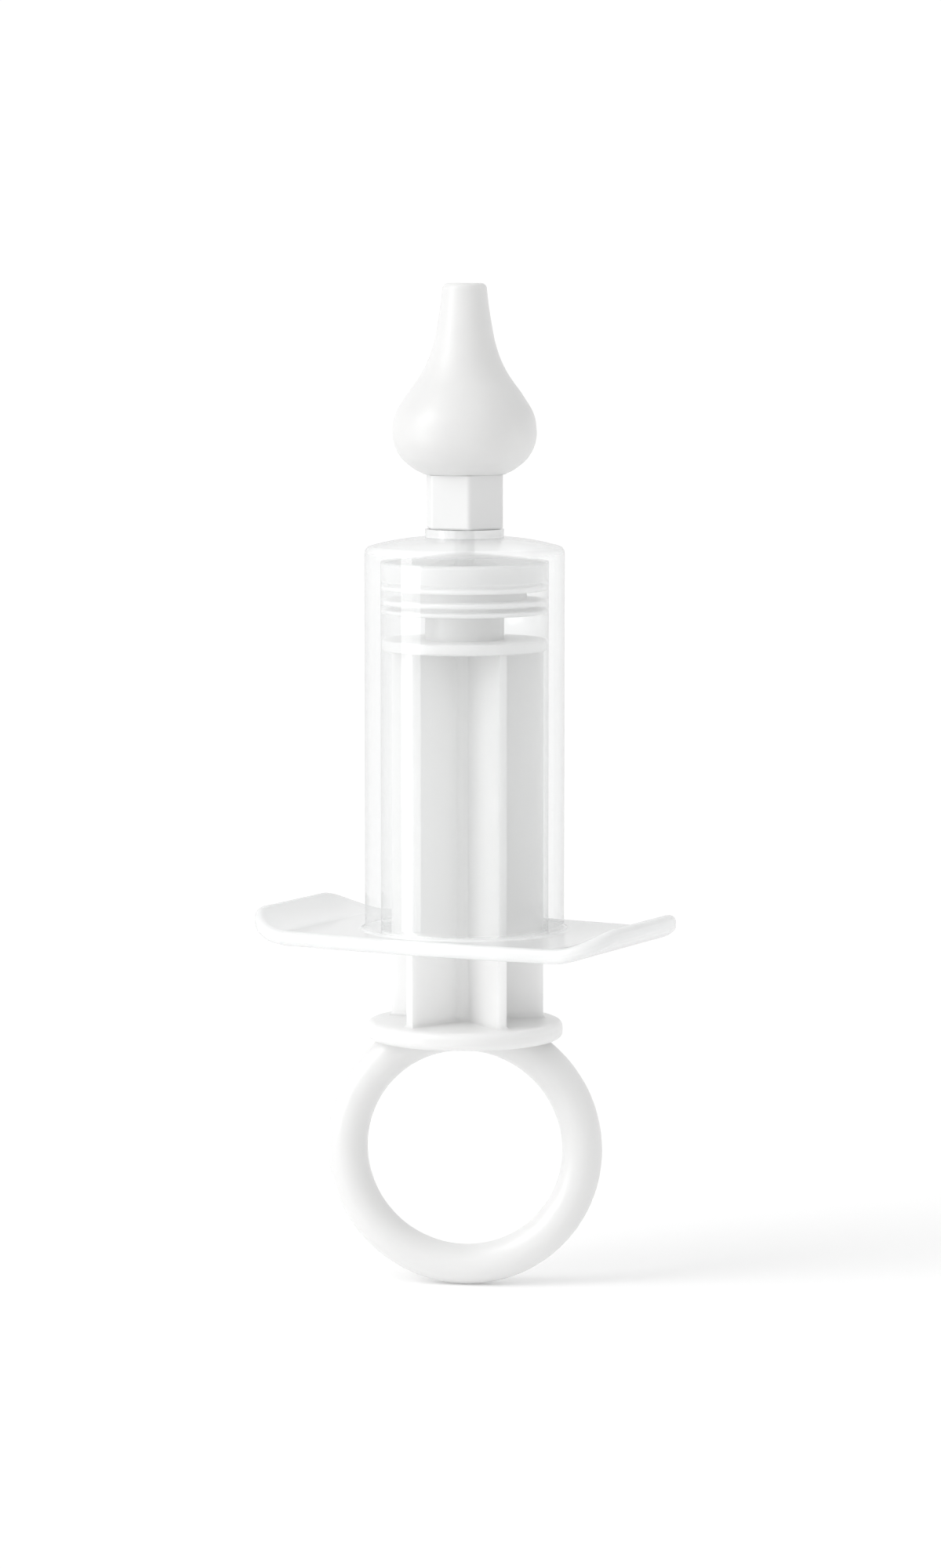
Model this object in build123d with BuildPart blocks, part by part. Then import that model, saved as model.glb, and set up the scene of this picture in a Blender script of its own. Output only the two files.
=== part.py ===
"""Ring-pull nasal irrigation syringe with a silicone bulb nozzle.

+Z runs up the syringe axis towards the nozzle tip and z = 0 is the bottom of the thumb ring.
The finger flange's wings reach out along X.  Each separate piece of the syringe is its own solid.
All lengths are in millimetres.
"""

from build123d import *
import os

os.makedirs("parts", exist_ok=True)

# ---- Driving dimensions ----------------------------------------------------------------------

total_height = 120.0
match = 0.01                     # how closely an edge has to fit a size to be picked by it

# Barrel
barrel_outer_r = 11.9
bore_r = 10.0
flange_bottom_z = 41.4
flange_thickness = 1.75
shoulder_edge_z = 88.75          # sharp edge of the shoulder, before it is rounded
shoulder_rise = 1.25             # how far the shoulder climbs to the outlet collar
shoulder_crown = 0.68            # part of that rise already reached half-way in
shoulder_round = 0.9
ceiling_edge_z = 87.1
ceiling_rise = 1.0
collar_r = 4.7
collar_height = 0.95
spigot_root_r = 2.9
spigot_tip_r = 2.65
spigot_length = 4.6
outlet_r = 1.2

# Finger flange, seen from above and from the side
flange_half_length = 24.0
flange_end_half_width = 12.0
flange_mid_half_width = 13.6
flange_corner_r = 5.5
flange_flat_half_length = 17.4
flange_wing_r = 8.5              # bend radius of the upturned wings, at their top face
flange_edge_round = 0.7
flange_root_fillet = 0.8

# Nozzle adapter: hexagonal neck, a socket for the spigot below and a stud for the nozzle above
hex_across_corners = 10.0
hex_turn = 3.5                   # the hexagon stands turned this far round the axis
hex_corner_round = 0.55
hex_top_z = 97.4
hex_chamfer = 0.2
hex_gap = 0.05                   # above the barrel's collar
socket_clearance = 0.03
stud_root_r = 3.2
stud_tip_r = 2.9
stud_length = 8.6
stud_rooting = 1.0               # how far the stud starts inside the hexagon
socket_end_gap = 0.1             # left above the spigot
channel_r = 1.0

# Silicone nozzle
nozzle_base_r = 5.05
bulb_r = 8.58
bulb_z = 102.5
bulb_foot = (7.0, 98.7)          # radius and height of points on the bulb's curve
bulb_shoulder = (6.8, 106.9)
taper_start = (4.36, 111.0)
taper_middle = (3.2, 115.15)
tip_r = 2.66
tip_round = 0.75
nozzle_clearance = 0.03
nozzle_seat_gap = 0.02           # between the hexagon and the nozzle
pocket_end_gap = 0.1             # left above the stud

# Piston seal
seal_lip_r = 9.97
seal_bottom_z = 80.95
seal_top_gap = 0.15
seal_shallow_groove_r = 9.2
seal_shallow_groove_z = (84.25, 84.65)
seal_deep_groove_r = 7.4
seal_deep_groove_z = (82.6, 83.7)
seal_lower_groove_r = 8.3
seal_lower_groove_z = (81.45, 82.0)
seal_crown_share = 0.98          # of the barrel's ceiling rise
head_clearance = 0.05

# Plunger rod
plunger_turn = 20.0              # the plunger stands turned this far round the axis from the flange
rib_count = 5
rib_reach = 9.5
rib_thickness = 1.0
core_r = 2.0
core_fillet = 0.35
rib_edge_round = 0.22
rib_foot_fillet = 0.45
upper_disc_r = 9.8
upper_disc_bottom_z = 76.5
upper_disc_thickness = 1.35
upper_disc_round = 0.2
lower_disc_r = 11.75
lower_disc_bottom_z = 30.0
lower_disc_thickness = 2.15
lower_disc_round = 0.8
neck_r = 4.7
head_r = 6.2
head_bottom_z = 83.9
head_height = 1.5
head_chamfer = 0.7
ring_major_r = 14.2
ring_tube_r = 2.4

# ---- Heights that follow from them -----------------------------------------------------------

flange_top_z = flange_bottom_z + flange_thickness
shoulder_top_z = shoulder_edge_z + shoulder_rise
collar_top_z = shoulder_top_z + collar_height
spigot_top_z = collar_top_z + spigot_length
hex_bottom_z = collar_top_z + hex_gap
stud_top_z = hex_top_z + stud_length
upper_disc_top_z = upper_disc_bottom_z + upper_disc_thickness
lower_disc_top_z = lower_disc_bottom_z + lower_disc_thickness
ring_centre_z = ring_major_r + ring_tube_r

# ---- Barrel: tube, domed shoulder, outlet spigot and finger flange in one moulding -----------

flange_end_x = flange_half_length - flange_flat_half_length
wing_top_rise = flange_wing_r - (flange_wing_r**2 - flange_end_x**2) ** 0.5
wing_bottom_r = flange_wing_r + flange_thickness
wing_bottom_rise = wing_bottom_r - (wing_bottom_r**2 - flange_end_x**2) ** 0.5
wing_side_height = 12.0

with BuildPart() as barrel:
    # The flange is a curved strip cut to its outline.
    with BuildSketch(Plane.XZ) as strip:
        with BuildLine() as strip_line:
            top_flat = Line(
                (-flange_flat_half_length, flange_top_z), (flange_flat_half_length, flange_top_z)
            )
            right_wing = RadiusArc(
                top_flat @ 1,
                (flange_half_length, flange_top_z + wing_top_rise),
                -flange_wing_r,
            )
            right_end = Line(
                right_wing @ 1, (flange_half_length, flange_bottom_z + wing_bottom_rise)
            )
            right_under = RadiusArc(
                right_end @ 1, (flange_flat_half_length, flange_bottom_z), wing_bottom_r
            )
            under_flat = Line(
                right_under @ 1, (-flange_flat_half_length, flange_bottom_z)
            )
            left_under = RadiusArc(
                under_flat @ 1,
                (-flange_half_length, flange_bottom_z + wing_bottom_rise),
                wing_bottom_r,
            )
            left_end = Line(
                left_under @ 1, (-flange_half_length, flange_top_z + wing_top_rise)
            )
            RadiusArc(left_end @ 1, top_flat @ 0, -flange_wing_r)
        make_face()
    extrude(amount=flange_mid_half_width, both=True)
    with BuildSketch(Plane.XY.offset(flange_bottom_z)) as flange_outline:
        with BuildLine() as outline_line:
            corner_x = flange_half_length
            corner_y = flange_end_half_width
            back_side = ThreePointArc(
                (corner_x, corner_y), (0, flange_mid_half_width), (-corner_x, corner_y)
            )
            left_side = Line(back_side @ 1, (-corner_x, -corner_y))
            front_side = ThreePointArc(
                left_side @ 1, (0, -flange_mid_half_width), (corner_x, -corner_y)
            )
            Line(front_side @ 1, back_side @ 0)
        make_face()
        fillet(flange_outline.vertices(), flange_corner_r)
    extrude(amount=wing_side_height, mode=Mode.INTERSECT)
    rim_edges = barrel.edges().filter_by(
        lambda edge: abs(edge.center().Y) > 1 or abs(edge.center().X) > flange_flat_half_length + 1
    )
    fillet(rim_edges, flange_edge_round)

    # The tube, shoulder and spigot are one turned shape.
    with BuildSketch(Plane.XZ) as wall:
        with BuildLine() as wall_line:
            outer_side = Line((barrel_outer_r, flange_bottom_z), (barrel_outer_r, shoulder_edge_z))
            shoulder = ThreePointArc(
                outer_side @ 1,
                ((barrel_outer_r + collar_r) / 2, shoulder_edge_z + shoulder_crown * shoulder_rise),
                (collar_r, shoulder_top_z),
            )
            collar_side = Line(shoulder @ 1, (collar_r, collar_top_z))
            collar_top = Line(collar_side @ 1, (spigot_root_r, collar_top_z))
            spigot_side = Line(collar_top @ 1, (spigot_tip_r, spigot_top_z))
            spigot_top = Line(spigot_side @ 1, (outlet_r, spigot_top_z))
            outlet = Line(spigot_top @ 1, (outlet_r, ceiling_edge_z + ceiling_rise))
            ceiling = Line(outlet @ 1, (bore_r, ceiling_edge_z))
            bore = Line(ceiling @ 1, (bore_r, flange_bottom_z))
            Line(bore @ 1, outer_side @ 0)
        make_face()
    revolve(axis=Axis.Z)
    with BuildSketch(Plane.XY.offset(flange_bottom_z)):
        Circle(bore_r)
    extrude(amount=flange_thickness * 2, mode=Mode.SUBTRACT)
    shoulder_edge = barrel.edges().filter_by(GeomType.CIRCLE).filter_by(
        lambda edge: abs(edge.radius - barrel_outer_r) < match
        and abs(edge.center().Z - shoulder_edge_z) < match
    )
    fillet(shoulder_edge, shoulder_round)
    root_edges = barrel.edges().filter_by(GeomType.CIRCLE).filter_by(
        lambda edge: abs(edge.radius - barrel_outer_r) < match
        and abs(edge.center().Z - flange_top_z) < match
    )
    fillet(root_edges, flange_root_fillet)
barrel.part.label = "barrel"
export_step(barrel.part, "parts/barrel.step")

# ---- Piston seal: ribbed silicone cap that snaps over the plunger's head ---------------------

cavity_r = head_r + head_clearance
cavity_bottom_z = head_bottom_z - head_clearance
cavity_top_z = head_bottom_z + head_height + head_clearance
seal_hole_r = neck_r + head_clearance
seal_edge_z = ceiling_edge_z - seal_top_gap
seal_crown_z = seal_edge_z + ceiling_rise * seal_crown_share
seal_grooves = (
    (seal_lower_groove_r, seal_lower_groove_z),
    (seal_deep_groove_r, seal_deep_groove_z),
    (seal_shallow_groove_r, seal_shallow_groove_z),
)

with BuildPart() as piston_seal:
    with BuildSketch(Plane.XZ) as seal_section:
        with Locations((seal_lip_r / 2, (seal_bottom_z + seal_edge_z) / 2)):
            Rectangle(seal_lip_r, seal_edge_z - seal_bottom_z)
        for groove_r, (low_z, high_z) in seal_grooves:
            with Locations(((groove_r + seal_lip_r) / 2, (low_z + high_z) / 2)):
                Rectangle(seal_lip_r - groove_r, high_z - low_z, mode=Mode.SUBTRACT)
        with BuildLine() as crown:
            Polyline(
                (0, seal_edge_z),
                (seal_lip_r, seal_edge_z),
                (outlet_r, seal_crown_z),
                (0, seal_crown_z),
                close=True,
            )
        make_face()
        with Locations((seal_hole_r / 2, (seal_bottom_z + cavity_top_z) / 2)):
            Rectangle(seal_hole_r, cavity_top_z - seal_bottom_z, mode=Mode.SUBTRACT)
        with Locations((cavity_r / 2, (cavity_bottom_z + cavity_top_z) / 2)):
            Rectangle(cavity_r, cavity_top_z - cavity_bottom_z, mode=Mode.SUBTRACT)
    revolve(axis=Axis.Z)
piston_seal.part.label = "piston_seal"
export_step(piston_seal.part, "parts/piston_seal.step")

# ---- Plunger rod: head, neck, two discs, ribbed shaft and thumb ring in one moulding ---------

ring_direction = Vector(1, 0, 0).rotate(Axis.Z, plunger_turn)
ring_normal = Vector(0, -1, 0).rotate(Axis.Z, plunger_turn)
ring_cut_z = lower_disc_bottom_z + lower_disc_thickness / 2
rib_start_angle = plunger_turn + 90.0      # one rib points straight back, square to the ring

# The thumb ring is cut off flat inside the lower disc, which it runs into.
with BuildPart() as thumb_ring:
    with BuildSketch(Plane((0, 0, ring_centre_z), x_dir=ring_direction)):
        with Locations((ring_major_r, 0)):
            Circle(ring_tube_r)
    revolve(axis=Axis((0, 0, ring_centre_z), ring_normal))
    split(bisect_by=Plane.XY.offset(ring_cut_z), keep=Keep.BOTTOM)

with BuildPart() as plunger_rod:
    # Ribbed shaft
    with BuildSketch(Plane.XY.offset(lower_disc_bottom_z)) as star:
        Circle(core_r)
        with PolarLocations(0, rib_count, start_angle=rib_start_angle):
            with Locations((rib_reach / 2, 0)):
                Rectangle(rib_reach, rib_thickness)
        inner_corners = star.vertices().filter_by(
            lambda corner: Vector(corner.X, corner.Y).length < core_r + rib_thickness
        )
        outer_corners = star.vertices().filter_by(
            lambda corner: Vector(corner.X, corner.Y).length > rib_reach - rib_thickness
        )
        fillet(inner_corners, core_fillet)
        fillet(outer_corners, rib_edge_round)
    extrude(amount=upper_disc_top_z - lower_disc_bottom_z)

    # Discs at both ends of the shaft
    with BuildSketch(Plane.XY.offset(upper_disc_bottom_z)):
        Circle(upper_disc_r)
    extrude(amount=upper_disc_thickness)
    with BuildSketch(Plane.XY.offset(lower_disc_bottom_z)):
        Circle(lower_disc_r)
    extrude(amount=lower_disc_thickness)
    disc_rims = plunger_rod.edges().filter_by(GeomType.CIRCLE)
    upper_rims = disc_rims.filter_by(lambda edge: abs(edge.radius - upper_disc_r) < match)
    lower_rims = disc_rims.filter_by(lambda edge: abs(edge.radius - lower_disc_r) < match)
    fillet(upper_rims, upper_disc_round)
    fillet(lower_rims, lower_disc_round)
    foot_edges = plunger_rod.edges().filter_by(
        lambda edge: all(abs(end.Z - lower_disc_top_z) < match for end in edge.vertices())
        and Vector(edge.center().X, edge.center().Y).length < rib_reach + match
    )
    fillet(foot_edges, rib_foot_fillet)

    # Neck and snap head, held inside the seal
    with BuildSketch(Plane.XY.offset(upper_disc_top_z)):
        Circle(neck_r)
    extrude(amount=head_bottom_z - upper_disc_top_z)
    with BuildSketch(Plane.XY.offset(head_bottom_z)):
        Circle(head_r)
    extrude(amount=head_height)
    head_rim = plunger_rod.faces().sort_by(Axis.Z)[-1].edges()
    chamfer(head_rim, head_chamfer)

    add(thumb_ring.part)
plunger_rod.part.label = "plunger_rod"
export_step(plunger_rod.part, "parts/plunger_rod.step")

# ---- Nozzle adapter --------------------------------------------------------------------------

socket_depth = spigot_length + socket_end_gap
socket_mouth_r = spigot_root_r + socket_clearance
socket_end_r = spigot_tip_r + socket_clearance

with BuildPart() as nozzle_adapter:
    with BuildSketch(Plane.XY.offset(hex_bottom_z)) as hexagon:
        RegularPolygon(hex_across_corners / 2, 6, rotation=hex_turn)
        fillet(hexagon.vertices(), hex_corner_round)
    extrude(amount=hex_top_z - hex_bottom_z)
    chamfer(nozzle_adapter.faces().sort_by(Axis.Z)[0].edges(), hex_chamfer)
    with BuildSketch(Plane.XZ) as stud_section:
        with BuildLine():
            Polyline(
                (0, hex_top_z - stud_rooting),
                (stud_root_r, hex_top_z - stud_rooting),
                (stud_root_r, hex_top_z),
                (stud_tip_r, stud_top_z),
                (0, stud_top_z),
                close=True,
            )
        make_face()
    revolve(axis=Axis.Z)
    with BuildSketch(Plane.XZ) as passage:
        with BuildLine():
            Polyline(
                (0, hex_bottom_z),
                (socket_mouth_r, hex_bottom_z),
                (socket_end_r, hex_bottom_z + socket_depth),
                (channel_r, hex_bottom_z + socket_depth),
                (channel_r, stud_top_z),
                (0, stud_top_z),
                close=True,
            )
        make_face()
    revolve(axis=Axis.Z, mode=Mode.SUBTRACT)
nozzle_adapter.part.label = "nozzle_adapter"
export_step(nozzle_adapter.part, "parts/nozzle_adapter.step")

# ---- Silicone nozzle -------------------------------------------------------------------------

nozzle_bottom_z = hex_top_z + nozzle_seat_gap
pocket_top_z = stud_top_z + pocket_end_gap

with BuildPart() as silicone_nozzle:
    with BuildSketch(Plane.XZ) as bulb_section:
        with BuildLine():
            base = Line((0, nozzle_bottom_z), (nozzle_base_r, nozzle_bottom_z))
            bulb = Spline(
                base @ 1,
                bulb_foot,
                (bulb_r, bulb_z),
                bulb_shoulder,
                taper_start,
                taper_middle,
                (tip_r, total_height - tip_round),
            )
            tip_edge = RadiusArc(
                bulb @ 1, (tip_r - tip_round, total_height), -tip_round
            )
            top = Line(tip_edge @ 1, (0, total_height))
            Line(top @ 1, base @ 0)
        make_face()
    revolve(axis=Axis.Z)
    with BuildSketch(Plane.XZ) as pocket:
        with BuildLine():
            Polyline(
                (0, nozzle_bottom_z),
                (stud_root_r + nozzle_clearance, nozzle_bottom_z),
                (stud_tip_r + nozzle_clearance, pocket_top_z),
                (channel_r, pocket_top_z),
                (channel_r, total_height),
                (0, total_height),
                close=True,
            )
        make_face()
    revolve(axis=Axis.Z, mode=Mode.SUBTRACT)
silicone_nozzle.part.label = "silicone_nozzle"
export_step(silicone_nozzle.part, "parts/silicone_nozzle.step")
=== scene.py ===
"""Looks of a ring-pull nasal irrigation syringe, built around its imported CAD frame."""

import math

import bmesh
import bpy
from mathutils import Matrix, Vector


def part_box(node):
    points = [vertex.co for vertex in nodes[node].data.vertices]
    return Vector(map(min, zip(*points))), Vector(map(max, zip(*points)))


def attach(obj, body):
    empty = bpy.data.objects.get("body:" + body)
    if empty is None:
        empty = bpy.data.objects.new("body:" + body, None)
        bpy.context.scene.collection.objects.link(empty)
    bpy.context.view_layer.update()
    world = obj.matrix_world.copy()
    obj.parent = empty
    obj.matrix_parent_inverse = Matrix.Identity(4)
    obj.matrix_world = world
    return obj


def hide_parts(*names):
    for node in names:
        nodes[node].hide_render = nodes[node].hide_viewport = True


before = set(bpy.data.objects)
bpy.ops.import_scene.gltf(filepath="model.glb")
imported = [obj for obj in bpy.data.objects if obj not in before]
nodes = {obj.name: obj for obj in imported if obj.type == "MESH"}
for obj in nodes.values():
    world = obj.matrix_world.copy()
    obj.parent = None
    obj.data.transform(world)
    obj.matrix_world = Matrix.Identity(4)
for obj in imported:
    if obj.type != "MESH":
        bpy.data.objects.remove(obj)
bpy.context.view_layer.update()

MM = 0.001

# Places on the barrel where its plastic is thick and looks milky
flange_root_r = 11.93 * MM
flange_top_z = 43.15 * MM
shoulder_z = 88.4 * MM
collar_z = 90.0 * MM

# Above the first and below the second the colour is painted lighter: painted light, standing in
# for light that passes through the thin walls and lifts their shade
ribs_foot_z = 32.3 * MM
seal_fins_top_z = 84.6 * MM


def add_object(name, data):
    obj = bpy.data.objects.new(name, data)
    bpy.context.scene.collection.objects.link(obj)
    return obj


# ---- Materials ---------------------------------------------------------------------------------

# Nearly all of a noise texture's values lie between these
noise_low, noise_high = 0.3, 0.7


def new_material(name):
    material = bpy.data.materials.new(name)
    material.use_nodes = True
    return material, material.node_tree, material.node_tree.nodes["Principled BSDF"]


def noise(tree, scale, detail=3.0, stretch=(1.0, 1.0, 1.0)):
    """Noise in object space, scale in cells per metre."""
    coords = tree.nodes.new("ShaderNodeTexCoord")
    mapping = tree.nodes.new("ShaderNodeMapping")
    mapping.inputs["Scale"].default_value = stretch
    texture = tree.nodes.new("ShaderNodeTexNoise")
    texture.inputs["Scale"].default_value = scale
    texture.inputs["Detail"].default_value = detail
    tree.links.new(coords.outputs["Object"], mapping.inputs["Vector"])
    tree.links.new(mapping.outputs["Vector"], texture.inputs["Vector"])
    return texture.outputs["Fac"]


def spread(tree, value, low, high):
    """The noise value mapped to the range from low to high."""
    span = tree.nodes.new("ShaderNodeMapRange")
    span.inputs["From Min"].default_value = noise_low
    span.inputs["From Max"].default_value = noise_high
    span.inputs["To Min"].default_value = low
    span.inputs["To Max"].default_value = high
    tree.links.new(value, span.inputs["Value"])
    return span.outputs["Result"]


def blotched_colour(tree, shader, value, dark, light):
    """The shader's own colour drifts between dark and light with the noise value."""
    ramp = tree.nodes.new("ShaderNodeValToRGB")
    ramp.color_ramp.elements[0].position = noise_low
    ramp.color_ramp.elements[0].color = (*dark, 1)
    ramp.color_ramp.elements[1].position = noise_high
    ramp.color_ramp.elements[1].color = (*light, 1)
    tree.links.new(value, ramp.inputs["Fac"])
    tree.links.new(ramp.outputs["Color"], shader.inputs["Base Color"])


def powered_facing(tree, power, at_front, at_rim):
    """A share that grows from at_front, seen head on, to at_rim, seen edge on."""
    facing = tree.nodes.new("ShaderNodeLayerWeight")
    facing.inputs["Blend"].default_value = 0.5
    curve = tree.nodes.new("ShaderNodeMath")
    curve.operation = "POWER"
    curve.inputs[1].default_value = power
    span = tree.nodes.new("ShaderNodeMapRange")
    span.inputs["To Min"].default_value = at_front
    span.inputs["To Max"].default_value = at_rim
    tree.links.new(facing.outputs["Facing"], curve.inputs[0])
    tree.links.new(curve.outputs["Value"], span.inputs["Value"])
    return span.outputs["Result"]


def position(tree):
    """Place on the part in metres, in the shared frame at rest."""
    coords = tree.nodes.new("ShaderNodeTexCoord")
    return coords.outputs["Object"]


def height(tree):
    """Height above the table, at rest."""
    split = tree.nodes.new("ShaderNodeSeparateXYZ")
    tree.links.new(position(tree), split.inputs["Vector"])
    return split.outputs["Z"]


def axis_distance(tree):
    """Distance from the syringe's axis."""
    flat = tree.nodes.new("ShaderNodeVectorMath")
    flat.operation = "MULTIPLY"
    flat.inputs[1].default_value = (1, 1, 0)
    length = tree.nodes.new("ShaderNodeVectorMath")
    length.operation = "LENGTH"
    tree.links.new(position(tree), flat.inputs[0])
    tree.links.new(flat.outputs["Vector"], length.inputs[0])
    return length.outputs["Value"]


def ramp_up(tree, value, start, end, amount):
    """Nothing at start, amount at end and beyond."""
    ramp = tree.nodes.new("ShaderNodeMapRange")
    ramp.inputs["From Min"].default_value = start
    ramp.inputs["From Max"].default_value = end
    ramp.inputs["To Max"].default_value = amount
    tree.links.new(value, ramp.inputs["Value"])
    return ramp.outputs["Result"]


def largest(tree, first, *others):
    """The largest of several values."""
    for other in others:
        node = tree.nodes.new("ShaderNodeMath")
        node.operation = "MAXIMUM"
        tree.links.new(first, node.inputs[0])
        tree.links.new(other, node.inputs[1])
        first = node.outputs["Value"]
    return first


def recolour(tree, shader, value, start, end, colour):
    """The shader's own colour where the value is at start, and this colour from end on."""
    mix = tree.nodes.new("ShaderNodeMix")
    mix.data_type = "RGBA"
    own, other = (socket for socket in mix.inputs if socket.type == "RGBA")
    result = next(socket for socket in mix.outputs if socket.type == "RGBA")
    tree.links.new(shader.inputs["Base Color"].links[0].from_socket, own)
    other.default_value = (*colour, 1)
    tree.links.new(ramp_up(tree, value, start, end, 1.0), mix.inputs["Factor"])
    tree.links.new(result, shader.inputs["Base Color"])


def add_bump(tree, shader, value, depth, strength):
    bump = tree.nodes.new("ShaderNodeBump")
    bump.inputs["Strength"].default_value = strength
    bump.inputs["Distance"].default_value = depth
    tree.links.new(value, bump.inputs["Height"])
    tree.links.new(bump.outputs["Normal"], shader.inputs["Normal"])


def let_light_through(shader, weight, depth):
    """Light spreads this deep inside the material before it comes out again."""
    shader.inputs["Subsurface Weight"].default_value = weight
    shader.inputs["Subsurface Radius"].default_value = (1, 1, 1)
    shader.inputs["Subsurface Scale"].default_value = depth


def mix_shaders(tree, share, first, second):
    """The first shader where the share is 0 and the second where it is 1."""
    mix = tree.nodes.new("ShaderNodeMixShader")
    tree.links.new(share, mix.inputs["Fac"])
    tree.links.new(first, mix.inputs[1])
    tree.links.new(second, mix.inputs[2])
    return mix.outputs["Shader"]


def ray_is(tree, kind):
    """1 for rays of this kind, such as Shadow or Diffuse, and 0 for others."""
    rays = tree.nodes.new("ShaderNodeLightPath")
    return rays.outputs[f"Is {kind} Ray"]


def show_surface(tree, surface):
    tree.links.new(surface, tree.nodes["Material Output"].inputs["Surface"])


def moulded_white_plastic():
    """Hard white plastic with a soft gloss and a very fine moulded grain, painted lighter from
    the ribs' foot up than on the ring and lower disc: painted light for light passing through the
    thin ribs.
    """
    material, tree, shader = new_material("moulded_white_plastic")
    blotched_colour(
        tree,
        shader,
        noise(tree, 90, 2),
        dark=(0.76, 0.76, 0.757),
        light=(0.78, 0.78, 0.777),
    )
    # Painted light: a lighter colour from the ribs' foot up stands in for light passing through
    # the thin ribs and lifting the shade between them
    recolour(
        tree,
        shader,
        height(tree),
        start=ribs_foot_z - 0.3 * MM,
        end=ribs_foot_z + 0.6 * MM,
        colour=(0.84, 0.84, 0.837),
    )
    tree.links.new(spread(tree, noise(tree, 700), 0.32, 0.39), shader.inputs["Roughness"])
    add_bump(tree, shader, noise(tree, 1500, 2), 0.004 * MM, 0.3)
    shader.inputs["IOR"].default_value = 1.49
    let_light_through(shader, 0.8, 2.0 * MM)
    return material


def adapter_plastic():
    """Milky white plastic of the six-sided neck, a little glossier than the plunger."""
    material, tree, shader = new_material("adapter_plastic")
    blotched_colour(
        tree,
        shader,
        noise(tree, 140, 2),
        dark=(0.785, 0.787, 0.785),
        light=(0.81, 0.812, 0.81),
    )
    tree.links.new(spread(tree, noise(tree, 900), 0.32, 0.37), shader.inputs["Roughness"])
    add_bump(tree, shader, noise(tree, 1500, 2), 0.003 * MM, 0.3)
    shader.inputs["IOR"].default_value = 1.49
    return material


def nozzle_silicone():
    """Opaque white silicone: satin, with a soft powdery sheen."""
    material, tree, shader = new_material("nozzle_silicone")
    blotched_colour(
        tree,
        shader,
        noise(tree, 160, 3),
        dark=(0.73, 0.73, 0.726),
        light=(0.755, 0.755, 0.75),
    )
    tree.links.new(spread(tree, noise(tree, 1200), 0.36, 0.46), shader.inputs["Roughness"])
    add_bump(tree, shader, noise(tree, 7000, 3), 0.006 * MM, 0.7)
    shader.inputs["IOR"].default_value = 1.43
    shader.inputs["Sheen Weight"].default_value = 0.06
    shader.inputs["Sheen Roughness"].default_value = 0.5
    let_light_through(shader, 0.4, 1.5 * MM)
    return material


def seal_silicone():
    """Translucent silicone of the piston seal: its thin fins are painted brighter, a lighter
    colour standing in for light that passes through them and lifts the shade in the grooves, and
    most of the light that would be shadowed passes through."""
    material, tree, shader = new_material("seal_silicone")
    blotched_colour(
        tree,
        shader,
        noise(tree, 300, 2),
        dark=(0.79, 0.79, 0.788),
        light=(0.81, 0.81, 0.808),
    )
    # Painted light: below the fins' top the colour turns much lighter, standing in for light
    # passing through the thin fins and lifting the groove shade
    recolour(
        tree,
        shader,
        height(tree),
        start=seal_fins_top_z + 0.3 * MM,
        end=seal_fins_top_z,
        colour=(0.96, 0.96, 0.957),
    )
    tree.links.new(spread(tree, noise(tree, 1200), 0.33, 0.4), shader.inputs["Roughness"])
    add_bump(tree, shader, noise(tree, 5000, 2), 0.004 * MM, 0.6)
    shader.inputs["IOR"].default_value = 1.41
    let_light_through(shader, 0.9, 2.5 * MM)
    pass_through = tree.nodes.new("ShaderNodeBsdfTransparent")
    open_share = ramp_up(tree, ray_is(tree, "Shadow"), start=0.0, end=1.0, amount=0.85)
    show_surface(
        tree,
        mix_shaders(tree, open_share, shader.outputs["BSDF"], pass_through.outputs["BSDF"]),
    )
    return material


def clear_barrel_plastic():
    """Thin clear moulded plastic, slightly milky where it is seen edge on, with a smooth gloss
    and faint flow marks along the tube."""
    material, tree, shader = new_material("clear_barrel_plastic")
    blotched_colour(
        tree,
        shader,
        noise(tree, 60, 2, (1, 1, 0.2)),
        dark=(0.93, 0.935, 0.935),
        light=(0.95, 0.955, 0.955),
    )
    shader.inputs["Roughness"].default_value = 0.35
    shader.inputs["IOR"].default_value = 1.49
    clear = tree.nodes.new("ShaderNodeBsdfTransparent")
    clear.inputs["Color"].default_value = (0.98, 0.982, 0.982, 1)
    gloss = tree.nodes.new("ShaderNodeBsdfGlossy")
    gloss_noise = noise(tree, 500, 2, (1, 1, 0.25))
    tree.links.new(spread(tree, gloss_noise, 0.05, 0.09), gloss.inputs["Roughness"])
    add_bump(tree, gloss, noise(tree, 160, 2, (1, 1, 0.1)), 0.012 * MM, 0.12)
    milk = largest(
        tree,
        powered_facing(tree, power=3, at_front=0.04, at_rim=0.6),
        ramp_up(
            tree,
            axis_distance(tree),
            start=flange_root_r,
            end=flange_root_r + 0.45 * MM,
            amount=0.7,
        ),
        ramp_up(
            tree,
            height(tree),
            start=flange_top_z + 0.3 * MM,
            end=flange_top_z - 0.1 * MM,
            amount=0.7,
        ),
        ramp_up(
            tree,
            height(tree),
            start=shoulder_z - 1.0 * MM,
            end=shoulder_z + 0.2 * MM,
            amount=0.5,
        ),
        ramp_up(tree, height(tree), start=collar_z - 0.3 * MM, end=collar_z, amount=0.6),
    )
    body = mix_shaders(tree, milk, clear.outputs["BSDF"], shader.outputs["BSDF"])
    gloss_share = powered_facing(tree, power=5, at_front=0.04, at_rim=0.9)
    glossy = mix_shaders(tree, gloss_share, body, gloss.outputs["BSDF"])
    show_surface(tree, mix_shaders(tree, ray_is(tree, "Shadow"), glossy, clear.outputs["BSDF"]))
    return material


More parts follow.
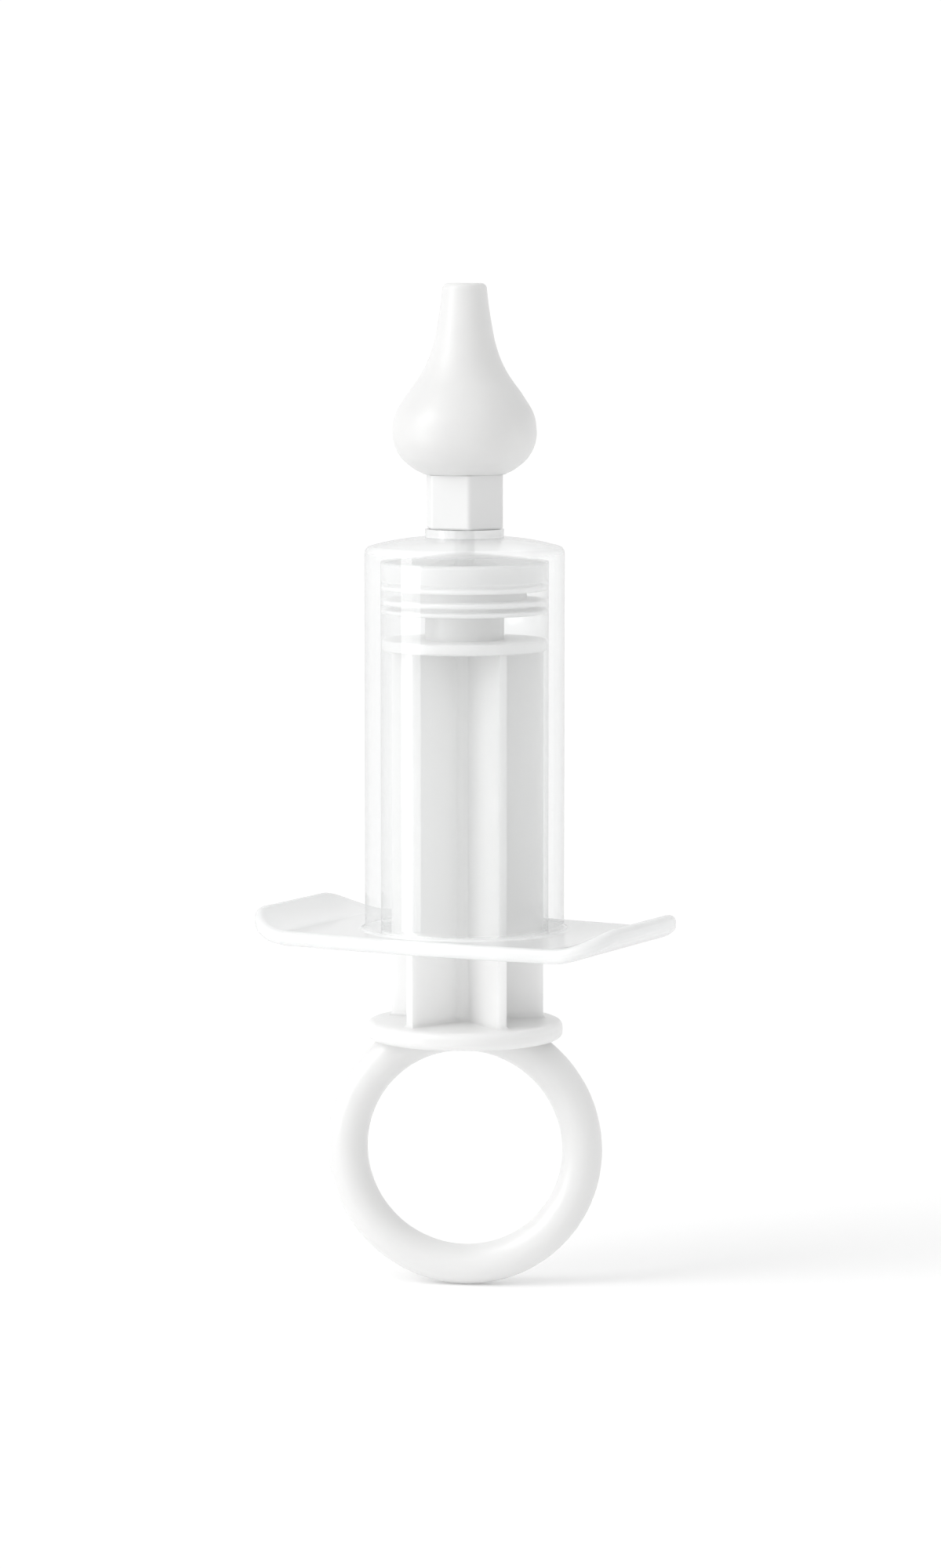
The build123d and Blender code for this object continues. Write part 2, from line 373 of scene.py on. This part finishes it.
finishes = {
    "clear_plastic": clear_barrel_plastic(),
    "white_plastic": moulded_white_plastic(),
    "adapter_plastic": adapter_plastic(),
    "white_silicone": nozzle_silicone(),
    "seal_silicone": seal_silicone(),
}
for node_name, finish_name in (
    ("barrel", "clear_plastic"),
    ("plunger_rod", "white_plastic"),
    ("nozzle_adapter", "adapter_plastic"),
    ("silicone_nozzle", "white_silicone"),
    ("piston_seal", "seal_silicone"),
):
    for slot in nodes[node_name].material_slots:
        slot.material = finishes[finish_name]

# ---- Turned silicone pieces --------------------------------------------------------------------


def rounded(corners, steps=5):
    """A closed outline from corners (radius, height, rounding), all in mm, with each corner
    rounded by that much."""
    outline = []
    count = len(corners)
    for index, (r, z, rounding) in enumerate(corners):
        here = Vector((r, z))
        if rounding <= 0:
            outline.append(here)
            continue
        before = (Vector(corners[index - 1][:2]) - here).normalized()
        after = (Vector(corners[(index + 1) % count][:2]) - here).normalized()
        half_angle = before.angle(after) / 2
        reach = rounding / math.tan(half_angle)
        centre = here + (before + after).normalized() * rounding / math.sin(half_angle)
        first = here + before * reach - centre
        turn = -(first.angle_signed(here + after * reach - centre))
        for step in range(steps + 1):
            angle = turn * step / steps
            cos, sin = math.cos(angle), math.sin(angle)
            outline.append(
                centre + Vector((first.x * cos - first.y * sin, first.x * sin + first.y * cos))
            )
    return outline


def smooth_through(points, steps=8):
    """A smooth curve through (radius, height) points, without its last point."""
    points = [Vector(point) for point in points]
    before, beyond = 2 * points[0] - points[1], 2 * points[-1] - points[-2]
    track = [before, *points, beyond]
    curve = []
    for index in range(1, len(track) - 2):
        p0, p1, p2, p3 = track[index - 1 : index + 3]
        for step in range(steps):
            t = step / steps
            curve.append(
                0.5
                * (
                    2 * p1
                    + (p2 - p0) * t
                    + (2 * p0 - 5 * p1 + 4 * p2 - p3) * t**2
                    + (3 * p1 - p0 - 3 * p2 + p3) * t**3
                )
            )
    return curve


def turned_piece(name, outline, body, slot, node, segments=144):
    """A solid of revolution about the syringe's axis from a closed outline in mm."""
    builder = bmesh.new()
    rings = []
    for step in range(segments):
        angle = 2 * math.pi * step / segments
        ring = []
        for point in outline:
            r, z = point.x * MM, point.y * MM
            ring.append(builder.verts.new((r * math.cos(angle), r * math.sin(angle), z)))
        rings.append(ring)
    for ring, following in zip(rings, rings[1:] + rings[:1]):
        for low, high, low_next, high_next in zip(
            ring, ring[1:] + ring[:1], following, following[1:] + following[:1]
        ):
            builder.faces.new((low, low_next, high_next, high))
    bmesh.ops.recalc_face_normals(builder, faces=builder.faces)
    mesh = bpy.data.meshes.new(name)
    builder.to_mesh(mesh)
    builder.free()
    for face in mesh.polygons:
        face.use_smooth = True
    mesh.materials.append(finishes[slot])
    piece = add_object(name, mesh)
    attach(piece, body)
    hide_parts(node)


# Nozzle: pear-shaped bulb with a slim rounded tip, a channel, and a pocket round the stud
nozzle_low, nozzle_high = (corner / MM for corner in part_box("silicone_nozzle"))
nozzle_base_z, nozzle_top_z = nozzle_low.z, nozzle_high.z
bulb_r = nozzle_high.x
stud_top_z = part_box("nozzle_adapter")[1].z / MM
pocket_top_z = stud_top_z + 0.1
pocket_mouth_r, pocket_end_r = 3.23, 2.93
pocket_edge = 0.02
mouth_edge = 0.15
base_flat_r, base_edge_r = 4.55, 4.9
channel_r = 1.0
outlet_round = 0.25
tip_r = 2.66
tip_round = 0.75
tip_steps = 8
bulb_shape = (                             # radius, height above the nozzle's base
    (5.0, 0.1),
    (6.05, 0.66),
    (7.35, 1.75),
    (8.3, 3.35),
    (bulb_r - 0.015, 5.1),
    (8.2, 7.18),
    (6.85, 9.48),
    (5.35, 11.58),
    (4.3, 13.58),
    (3.6, 15.78),
    (3.18, 17.98),
    (2.84, 20.18),
)
bulb_outline = smooth_through(
    [(r, nozzle_base_z + up) for r, up in bulb_shape] + [(tip_r, nozzle_top_z - tip_round)]
)
tip_centre = Vector((tip_r - tip_round, nozzle_top_z - tip_round))
tip_edge = []
for step in range(tip_steps + 1):
    angle = math.pi / 2 * step / tip_steps
    tip_edge.append(tip_centre + tip_round * Vector((math.cos(angle), math.sin(angle))))
nozzle_inside = [
    Vector(point)
    for point in (
        (channel_r + outlet_round, nozzle_top_z),
        (channel_r + outlet_round * 0.3, nozzle_top_z - outlet_round * 0.3),
        (channel_r, nozzle_top_z - outlet_round),
        (channel_r, pocket_top_z + pocket_edge),
        (channel_r + pocket_edge, pocket_top_z),
        (pocket_end_r - pocket_edge, pocket_top_z),
        (pocket_end_r, pocket_top_z - pocket_edge),
        (pocket_mouth_r, nozzle_base_z + mouth_edge),
        (pocket_mouth_r + mouth_edge, nozzle_base_z),
        (base_flat_r, nozzle_base_z),
        (base_edge_r, nozzle_base_z + 0.02),
    )
]
turned_piece(
    "nozzle_bulb",
    bulb_outline + tip_edge + nozzle_inside,
    "nozzle",
    "white_silicone",
    "silicone_nozzle",
)

# Piston seal: thin lips with rounded edges round a hollow that holds the plunger's head
seal_low, seal_high = (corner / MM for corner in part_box("piston_seal"))
seal_base_z = seal_low.z
lip_r = seal_high.x
lip_round = 0.22
groove_round = 0.12
seal_grooves = (      # radius, foot and top above the seal's base, rounding of the lip below
    (8.3, 0.5, 1.05, 0.2),
    (7.4, 1.65, 2.75, lip_round),
    (9.2, 3.3, 3.7, lip_round),
)
crown_edge_z = seal_base_z + 6.0
crown_top_r = 1.2
crown_round = 0.5
seal_hole_r, cavity_r = 4.75, 6.25
cavity_bottom_z, cavity_top_z = seal_base_z + 2.9, seal_base_z + 4.5
cavity_round = 0.1
cavity_inner_r = 0.2
seal_corners = [(seal_hole_r, seal_base_z, 0.12), (lip_r, seal_base_z, 0.2)]
for groove_r, foot, top, lip_below_round in seal_grooves:
    seal_corners += [
        (lip_r, seal_base_z + foot, lip_below_round),
        (groove_r, seal_base_z + foot, groove_round),
        (groove_r, seal_base_z + top, groove_round),
        (lip_r, seal_base_z + top, lip_round),
    ]
seal_corners += [
    (lip_r, crown_edge_z, crown_round),
    (crown_top_r, seal_high.z, crown_round),
    (cavity_inner_r, seal_high.z, 0.0),
    (cavity_inner_r, cavity_top_z, 0.0),
    (cavity_r, cavity_top_z, cavity_round),
    (cavity_r, cavity_bottom_z, cavity_round),
    (seal_hole_r, cavity_bottom_z, cavity_round),
]
turned_piece("seal_cap", rounded(seal_corners), "piston", "seal_silicone", "piston_seal")

# ---- Camera ------------------------------------------------------------------------------------

camera_turn = math.radians(27.5)
camera_distance = 0.600
camera_height = 0.122
aim_height = 0.0605
aim_right = 0.0007
photo_height_px = 2000
lens_px = 6448
sensor_height = 36

right = Vector((math.cos(camera_turn), math.sin(camera_turn), 0))
toward = Vector((math.sin(camera_turn), -math.cos(camera_turn), 0))


def aim(obj, target):
    obj.rotation_euler = (Vector(target) - obj.location).to_track_quat("-Z", "Y").to_euler()


camera_data = bpy.data.cameras.new("camera")
camera = add_object("camera", camera_data)
camera_data.sensor_fit = "VERTICAL"
camera_data.sensor_height = sensor_height
camera_data.lens = sensor_height * lens_px / photo_height_px
camera_data.clip_start = 0.01
camera.location = toward * camera_distance + right * aim_right + Vector((0, 0, camera_height))
aim(camera, right * aim_right + Vector((0, 0, aim_height)))
bpy.context.scene.camera = camera

# ---- Light and stage ---------------------------------------------------------------------------

# Bearings are in degrees from the camera's side, positive to its right
key_bearing = -66
fill_bearing = -40
strip_bearing = -69


def level_direction(bearing_deg):
    """The level direction that has this bearing."""
    bearing = math.radians(bearing_deg)
    return toward * math.cos(bearing) + right * math.sin(bearing)


def add_sun(name, direction, energy, disc_deg):
    data = bpy.data.lights.new(name, "SUN")
    data.angle = math.radians(disc_deg)
    data.energy = energy
    sun = add_object(name, data)
    sun.location = direction
    aim(sun, (0, 0, 0))


# The key is a tall narrow softbox far away: a column of wide, weak suns
key_flat = level_direction(key_bearing)
key_elevations = (10, 22, 34, 46)
key_total = 1.25
for elevation_deg in key_elevations:
    elevation = math.radians(elevation_deg)
    key_direction = key_flat * math.cos(elevation) + Vector((0, 0, math.sin(elevation)))
    add_sun(f"key_{elevation_deg}", key_direction, key_total / len(key_elevations), disc_deg=34)

fill_rise = 0.6
fill_direction = level_direction(fill_bearing) + Vector((0, 0, fill_rise))
add_sun("fill", fill_direction, energy=0.30, disc_deg=60)

# The softbox's upright strip in glossy surfaces
strip_width, strip_height, strip_distance = 0.072, 0.42, 0.28
strip_foot = 0.002
strip_radiance = 5.0
strip_data = bpy.data.lights.new("strip", "AREA")
strip_data.shape = "RECTANGLE"
strip_data.size, strip_data.size_y = strip_width, strip_height
strip_data.energy = strip_radiance * math.pi * strip_width * strip_height
strip = add_object("strip", strip_data)
strip_middle_z = strip_height / 2 + strip_foot
strip_flat = level_direction(strip_bearing)
strip.location = strip_flat * strip_distance + Vector((0, 0, strip_middle_z))
aim(strip, (0, 0, strip_middle_z))
strip.visible_camera = False
strip.visible_diffuse = False
strip.visible_transmission = False

floor_radius = 6
floor_mesh = bpy.data.meshes.new("floor")
floor_builder = bmesh.new()
bmesh.ops.create_circle(floor_builder, cap_ends=True, radius=floor_radius, segments=96)
floor_builder.to_mesh(floor_mesh)
floor_builder.free()
floor = add_object("floor", floor_mesh)
floor_material, _, floor_shader = new_material("floor_paper")
floor_shader.inputs["Base Color"].default_value = (0.92, 0.92, 0.92, 1)
floor_shader.inputs["Roughness"].default_value = 0.9
floor_shader.inputs["Specular IOR Level"].default_value = 0.0
floor_shader.inputs["Emission Color"].default_value = (1, 1, 1, 1)
floor_shader.inputs["Emission Strength"].default_value = 0.15
floor_mesh.materials.append(floor_material)

# White surroundings: what lights matt surfaces is dimmer than what the camera and gloss see,
# and brighter overhead
world = bpy.data.worlds.new("studio")
bpy.context.scene.world = world
world.use_nodes = True
sky = world.node_tree
direction = sky.nodes.new("ShaderNodeTexCoord")
split_direction = sky.nodes.new("ShaderNodeSeparateXYZ")
sky.links.new(direction.outputs["Generated"], split_direction.inputs["Vector"])
ambient = sky.nodes.new("ShaderNodeMapRange")
ambient.inputs["To Min"].default_value = 0.58
ambient.inputs["To Max"].default_value = 0.80
sky.links.new(split_direction.outputs["Z"], ambient.inputs["Value"])
seen_level = 1.03
level = sky.nodes.new("ShaderNodeMix")
level.inputs["A"].default_value = seen_level
sky.links.new(ray_is(sky, "Diffuse"), level.inputs["Factor"])
sky.links.new(ambient.outputs["Result"], level.inputs["B"])
sky.links.new(level.outputs["Result"], sky.nodes["Background"].inputs["Strength"])
sky.nodes["Background"].inputs["Color"].default_value = (1, 1, 1, 1)
bpy.context.scene.view_settings.view_transform = "Standard"
bpy.context.scene.view_settings.look = "None"
